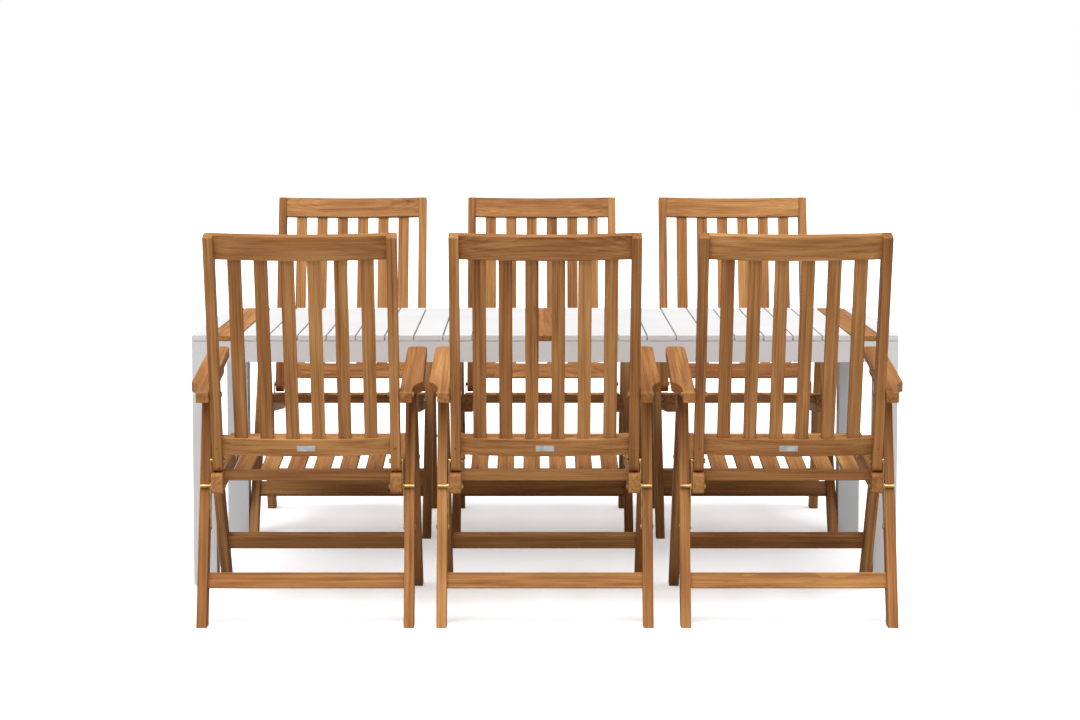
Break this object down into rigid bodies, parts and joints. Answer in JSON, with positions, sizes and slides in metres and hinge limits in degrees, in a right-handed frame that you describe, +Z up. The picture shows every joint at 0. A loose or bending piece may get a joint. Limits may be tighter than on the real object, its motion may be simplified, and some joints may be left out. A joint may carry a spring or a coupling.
{
  "type": "patio dining set",
  "caption": "Rectangular slatted white metal dining table with teak inlays, and folding high-back teak armchairs along both long sides.",
  "frame": {"origin": "on the floor, under the middle of the whole set's bounding box, with the chairs in place", "axes": "+Z is up, +Y runs across the table from the near row of chairs to the far row, +X runs to the right along the table"},
  "size_m": [2.05, 2.1516, 1.0753],
  "materials": {
    "teak": "oiled, satin",
    "white_aluminium": "matt white powder coat",
    "brass": "brushed, slightly dulled",
    "black_plastic": "matt",
    "steel": "plain"
  },
  "bodies": {
    "table": {"table_white_slats": "white_aluminium", "table_teak_slats": "teak", "table_legs": "white_aluminium", "table_feet": "black_plastic", "table_frame": "white_aluminium", "table_screws": "steel"},
    "chair1_front_frame": {"chair1_front_legs": "teak", "chair1_leg_bolts": "brass"},
    "chair1_rear_frame": {"chair1_rear_legs": "teak"},
    "chair1_seat_frame": {"chair1_seat": "teak"},
    "chair1_links": {"chair1_fold_links": "brass"},
    "chair1_hinge_plates": {"chair1_back_hinges": "brass"},
    "chair1_back_frame": {"chair1_back": "teak", "chair1_arm_bolts": "brass"},
    "chair1_arm_pair": {"chair1_arms": "teak"},
    "chair2_front_frame": {"chair2_front_legs": "teak", "chair2_leg_bolts": "brass"},
    "chair2_rear_frame": {"chair2_rear_legs": "teak"},
    "chair2_seat_frame": {"chair2_seat": "teak"},
    "chair2_links": {"chair2_fold_links": "brass"},
    "chair2_hinge_plates": {"chair2_back_hinges": "brass"},
    "chair2_back_frame": {"chair2_back": "teak", "chair2_arm_bolts": "brass"},
    "chair2_arm_pair": {"chair2_arms": "teak"},
    "chair3_front_frame": {"chair3_front_legs": "teak", "chair3_leg_bolts": "brass"},
    "chair3_rear_frame": {"chair3_rear_legs": "teak"},
    "chair3_seat_frame": {"chair3_seat": "teak"},
    "chair3_links": {"chair3_fold_links": "brass"},
    "chair3_hinge_plates": {"chair3_back_hinges": "brass"},
    "chair3_back_frame": {"chair3_back": "teak", "chair3_arm_bolts": "brass"},
    "chair3_arm_pair": {"chair3_arms": "teak"},
    "chair4_front_frame": {"chair4_front_legs": "teak", "chair4_leg_bolts": "brass"},
    "chair4_rear_frame": {"chair4_rear_legs": "teak"},
    "chair4_seat_frame": {"chair4_seat": "teak"},
    "chair4_links": {"chair4_fold_links": "brass"},
    "chair4_hinge_plates": {"chair4_back_hinges": "brass"},
    "chair4_back_frame": {"chair4_back": "teak", "chair4_arm_bolts": "brass"},
    "chair4_arm_pair": {"chair4_arms": "teak"},
    "chair5_front_frame": {"chair5_front_legs": "teak", "chair5_leg_bolts": "brass"},
    "chair5_rear_frame": {"chair5_rear_legs": "teak"},
    "chair5_seat_frame": {"chair5_seat": "teak"},
    "chair5_links": {"chair5_fold_links": "brass"},
    "chair5_hinge_plates": {"chair5_back_hinges": "brass"},
    "chair5_back_frame": {"chair5_back": "teak", "chair5_arm_bolts": "brass"},
    "chair5_arm_pair": {"chair5_arms": "teak"},
    "chair6_front_frame": {"chair6_front_legs": "teak", "chair6_leg_bolts": "brass"},
    "chair6_rear_frame": {"chair6_rear_legs": "teak"},
    "chair6_seat_frame": {"chair6_seat": "teak"},
    "chair6_links": {"chair6_fold_links": "brass"},
    "chair6_hinge_plates": {"chair6_back_hinges": "brass"},
    "chair6_back_frame": {"chair6_back": "teak", "chair6_arm_bolts": "brass"},
    "chair6_arm_pair": {"chair6_arms": "teak"}
  },
  "joints": [
    {"name": "chair1_place", "type": "slide", "parent": "table", "child": "chair1_front_frame", "axis": [0, -1, 0], "range_m": [-0.03, 0.5]},
    {"name": "chair1_fold", "type": "hinge", "parent": "chair1_front_frame", "child": "chair1_rear_frame", "pos_m": [-0.6522, -0.75833, 0.592], "axis": [1, 0, 0], "range_deg": [0, 45.8]},
    {"name": "chair1_seat_fold", "type": "hinge", "parent": "chair1_front_frame", "child": "chair1_seat_frame", "pos_m": [-0.6522, -0.62899, 0.41494], "axis": [1, 0, 0], "range_deg": [-0.5, 84.6]},
    {"name": "chair1_link_fold", "type": "hinge", "parent": "chair1_seat_frame", "child": "chair1_links", "pos_m": [-0.6522, -0.88319, 0.3724], "axis": [1, 0, 0], "range_deg": [-0.5, 94.9]},
    {"name": "chair1_recline", "type": "hinge", "parent": "chair1_seat_frame", "child": "chair1_hinge_plates", "pos_m": [-0.6522, -0.88319, 0.3724], "axis": [1, 0, 0], "range_deg": [0, 25]},
    {"name": "chair1_back_fold", "type": "hinge", "parent": "chair1_hinge_plates", "child": "chair1_back_frame", "pos_m": [-0.6522, -0.88319, 0.4414], "axis": [1, 0, 0], "range_deg": [-71.9, 0.5]},
    {"name": "chair1_arm_fold", "type": "hinge", "parent": "chair1_back_frame", "child": "chair1_arm_pair", "pos_m": [-0.6522, -0.93507, 0.63103], "axis": [1, 0, 0], "range_deg": [-0.5, 103.4]},
    {"name": "chair2_place", "type": "slide", "parent": "table", "child": "chair2_front_frame", "axis": [0, -1, 0], "range_m": [-0.03, 0.5]},
    {"name": "chair2_fold", "type": "hinge", "parent": "chair2_front_frame", "child": "chair2_rear_frame", "pos_m": [-0.003, -0.75833, 0.592], "axis": [1, 0, 0], "range_deg": [0, 45.8]},
    {"name": "chair2_seat_fold", "type": "hinge", "parent": "chair2_front_frame", "child": "chair2_seat_frame", "pos_m": [-0.003, -0.62899, 0.41494], "axis": [1, 0, 0], "range_deg": [-0.5, 84.6]},
    {"name": "chair2_link_fold", "type": "hinge", "parent": "chair2_seat_frame", "child": "chair2_links", "pos_m": [-0.003, -0.88319, 0.3724], "axis": [1, 0, 0], "range_deg": [-0.5, 94.9]},
    {"name": "chair2_recline", "type": "hinge", "parent": "chair2_seat_frame", "child": "chair2_hinge_plates", "pos_m": [-0.003, -0.88319, 0.3724], "axis": [1, 0, 0], "range_deg": [0, 25]},
    {"name": "chair2_back_fold", "type": "hinge", "parent": "chair2_hinge_plates", "child": "chair2_back_frame", "pos_m": [-0.003, -0.88319, 0.4414], "axis": [1, 0, 0], "range_deg": [-71.9, 0.5]},
    {"name": "chair2_arm_fold", "type": "hinge", "parent": "chair2_back_frame", "child": "chair2_arm_pair", "pos_m": [-0.003, -0.93507, 0.63103], "axis": [1, 0, 0], "range_deg": [-0.5, 103.4]},
    {"name": "chair3_place", "type": "slide", "parent": "table", "child": "chair3_front_frame", "axis": [0, -1, 0], "range_m": [-0.03, 0.5]},
    {"name": "chair3_fold", "type": "hinge", "parent": "chair3_front_frame", "child": "chair3_rear_frame", "pos_m": [0.6592, -0.75833, 0.592], "axis": [1, 0, 0], "range_deg": [0, 45.8]},
    {"name": "chair3_seat_fold", "type": "hinge", "parent": "chair3_front_frame", "child": "chair3_seat_frame", "pos_m": [0.6592, -0.62899, 0.41494], "axis": [1, 0, 0], "range_deg": [-0.5, 84.6]},
    {"name": "chair3_link_fold", "type": "hinge", "parent": "chair3_seat_frame", "child": "chair3_links", "pos_m": [0.6592, -0.88319, 0.3724], "axis": [1, 0, 0], "range_deg": [-0.5, 94.9]},
    {"name": "chair3_recline", "type": "hinge", "parent": "chair3_seat_frame", "child": "chair3_hinge_plates", "pos_m": [0.6592, -0.88319, 0.3724], "axis": [1, 0, 0], "range_deg": [0, 25]},
    {"name": "chair3_back_fold", "type": "hinge", "parent": "chair3_hinge_plates", "child": "chair3_back_frame", "pos_m": [0.6592, -0.88319, 0.4414], "axis": [1, 0, 0], "range_deg": [-71.9, 0.5]},
    {"name": "chair3_arm_fold", "type": "hinge", "parent": "chair3_back_frame", "child": "chair3_arm_pair", "pos_m": [0.6592, -0.93507, 0.63103], "axis": [1, 0, 0], "range_deg": [-0.5, 103.4]},
    {"name": "chair4_place", "type": "slide", "parent": "table", "child": "chair4_front_frame", "axis": [0, 1, 0], "range_m": [-0.004, 0.5]},
    {"name": "chair4_fold", "type": "hinge", "parent": "chair4_front_frame", "child": "chair4_rear_frame", "pos_m": [-0.6592, 0.75833, 0.592], "axis": [-1, 0, 0], "range_deg": [0, 45.8]},
    {"name": "chair4_seat_fold", "type": "hinge", "parent": "chair4_front_frame", "child": "chair4_seat_frame", "pos_m": [-0.6592, 0.62899, 0.41494], "axis": [-1, 0, 0], "range_deg": [-0.5, 84.6]},
    {"name": "chair4_link_fold", "type": "hinge", "parent": "chair4_seat_frame", "child": "chair4_links", "pos_m": [-0.6592, 0.88319, 0.3724], "axis": [-1, 0, 0], "range_deg": [-0.5, 94.9]},
    {"name": "chair4_recline", "type": "hinge", "parent": "chair4_seat_frame", "child": "chair4_hinge_plates", "pos_m": [-0.6592, 0.88319, 0.3724], "axis": [-1, 0, 0], "range_deg": [0, 25]},
    {"name": "chair4_back_fold", "type": "hinge", "parent": "chair4_hinge_plates", "child": "chair4_back_frame", "pos_m": [-0.6592, 0.88319, 0.4414], "axis": [-1, 0, 0], "range_deg": [-71.9, 0.5]},
    {"name": "chair4_arm_fold", "type": "hinge", "parent": "chair4_back_frame", "child": "chair4_arm_pair", "pos_m": [-0.6592, 0.93507, 0.63103], "axis": [-1, 0, 0], "range_deg": [-0.5, 103.4]},
    {"name": "chair5_place", "type": "slide", "parent": "table", "child": "chair5_front_frame", "axis": [0, 1, 0], "range_m": [-0.004, 0.5]},
    {"name": "chair5_fold", "type": "hinge", "parent": "chair5_front_frame", "child": "chair5_rear_frame", "pos_m": [-0.003, 0.75833, 0.592], "axis": [-1, 0, 0], "range_deg": [0, 45.8]},
    {"name": "chair5_seat_fold", "type": "hinge", "parent": "chair5_front_frame", "child": "chair5_seat_frame", "pos_m": [-0.003, 0.62899, 0.41494], "axis": [-1, 0, 0], "range_deg": [-0.5, 84.6]},
    {"name": "chair5_link_fold", "type": "hinge", "parent": "chair5_seat_frame", "child": "chair5_links", "pos_m": [-0.003, 0.88319, 0.3724], "axis": [-1, 0, 0], "range_deg": [-0.5, 94.9]},
    {"name": "chair5_recline", "type": "hinge", "parent": "chair5_seat_frame", "child": "chair5_hinge_plates", "pos_m": [-0.003, 0.88319, 0.3724], "axis": [-1, 0, 0], "range_deg": [0, 25]},
    {"name": "chair5_back_fold", "type": "hinge", "parent": "chair5_hinge_plates", "child": "chair5_back_frame", "pos_m": [-0.003, 0.88319, 0.4414], "axis": [-1, 0, 0], "range_deg": [-71.9, 0.5]},
    {"name": "chair5_arm_fold", "type": "hinge", "parent": "chair5_back_frame", "child": "chair5_arm_pair", "pos_m": [-0.003, 0.93507, 0.63103], "axis": [-1, 0, 0], "range_deg": [-0.5, 103.4]},
    {"name": "chair6_place", "type": "slide", "parent": "table", "child": "chair6_front_frame", "axis": [0, 1, 0], "range_m": [-0.004, 0.5]},
    {"name": "chair6_fold", "type": "hinge", "parent": "chair6_front_frame", "child": "chair6_rear_frame", "pos_m": [0.6592, 0.75833, 0.592], "axis": [-1, 0, 0], "range_deg": [0, 45.8]},
    {"name": "chair6_seat_fold", "type": "hinge", "parent": "chair6_front_frame", "child": "chair6_seat_frame", "pos_m": [0.6592, 0.62899, 0.41494], "axis": [-1, 0, 0], "range_deg": [-0.5, 84.6]},
    {"name": "chair6_link_fold", "type": "hinge", "parent": "chair6_seat_frame", "child": "chair6_links", "pos_m": [0.6592, 0.88319, 0.3724], "axis": [-1, 0, 0], "range_deg": [-0.5, 94.9]},
    {"name": "chair6_recline", "type": "hinge", "parent": "chair6_seat_frame", "child": "chair6_hinge_plates", "pos_m": [0.6592, 0.88319, 0.3724], "axis": [-1, 0, 0], "range_deg": [0, 25]},
    {"name": "chair6_back_fold", "type": "hinge", "parent": "chair6_hinge_plates", "child": "chair6_back_frame", "pos_m": [0.6592, 0.88319, 0.4414], "axis": [-1, 0, 0], "range_deg": [-71.9, 0.5]},
    {"name": "chair6_arm_fold", "type": "hinge", "parent": "chair6_back_frame", "child": "chair6_arm_pair", "pos_m": [0.6592, 0.93507, 0.63103], "axis": [-1, 0, 0], "range_deg": [-0.5, 103.4]}
  ],
  "couplings": [
    {"joint": "chair1_seat_fold", "follows": "chair1_fold", "ratio": 1.8349},
    {"joint": "chair1_link_fold", "follows": "chair1_fold", "ratio": 2.0587},
    {"joint": "chair1_back_fold", "follows": "chair1_fold", "ratio": -1.5576},
    {"joint": "chair1_arm_fold", "follows": "chair1_fold", "ratio": 2.2445},
    {"joint": "chair2_seat_fold", "follows": "chair2_fold", "ratio": 1.8349},
    {"joint": "chair2_link_fold", "follows": "chair2_fold", "ratio": 2.0587},
    {"joint": "chair2_back_fold", "follows": "chair2_fold", "ratio": -1.5576},
    {"joint": "chair2_arm_fold", "follows": "chair2_fold", "ratio": 2.2445},
    {"joint": "chair3_seat_fold", "follows": "chair3_fold", "ratio": 1.8349},
    {"joint": "chair3_link_fold", "follows": "chair3_fold", "ratio": 2.0587},
    {"joint": "chair3_back_fold", "follows": "chair3_fold", "ratio": -1.5576},
    {"joint": "chair3_arm_fold", "follows": "chair3_fold", "ratio": 2.2445},
    {"joint": "chair4_seat_fold", "follows": "chair4_fold", "ratio": 1.8349},
    {"joint": "chair4_link_fold", "follows": "chair4_fold", "ratio": 2.0587},
    {"joint": "chair4_back_fold", "follows": "chair4_fold", "ratio": -1.5576},
    {"joint": "chair4_arm_fold", "follows": "chair4_fold", "ratio": 2.2445},
    {"joint": "chair5_seat_fold", "follows": "chair5_fold", "ratio": 1.8349},
    {"joint": "chair5_link_fold", "follows": "chair5_fold", "ratio": 2.0587},
    {"joint": "chair5_back_fold", "follows": "chair5_fold", "ratio": -1.5576},
    {"joint": "chair5_arm_fold", "follows": "chair5_fold", "ratio": 2.2445},
    {"joint": "chair6_seat_fold", "follows": "chair6_fold", "ratio": 1.8349},
    {"joint": "chair6_link_fold", "follows": "chair6_fold", "ratio": 2.0587},
    {"joint": "chair6_back_fold", "follows": "chair6_fold", "ratio": -1.5576},
    {"joint": "chair6_arm_fold", "follows": "chair6_fold", "ratio": 2.2445}
  ]
}
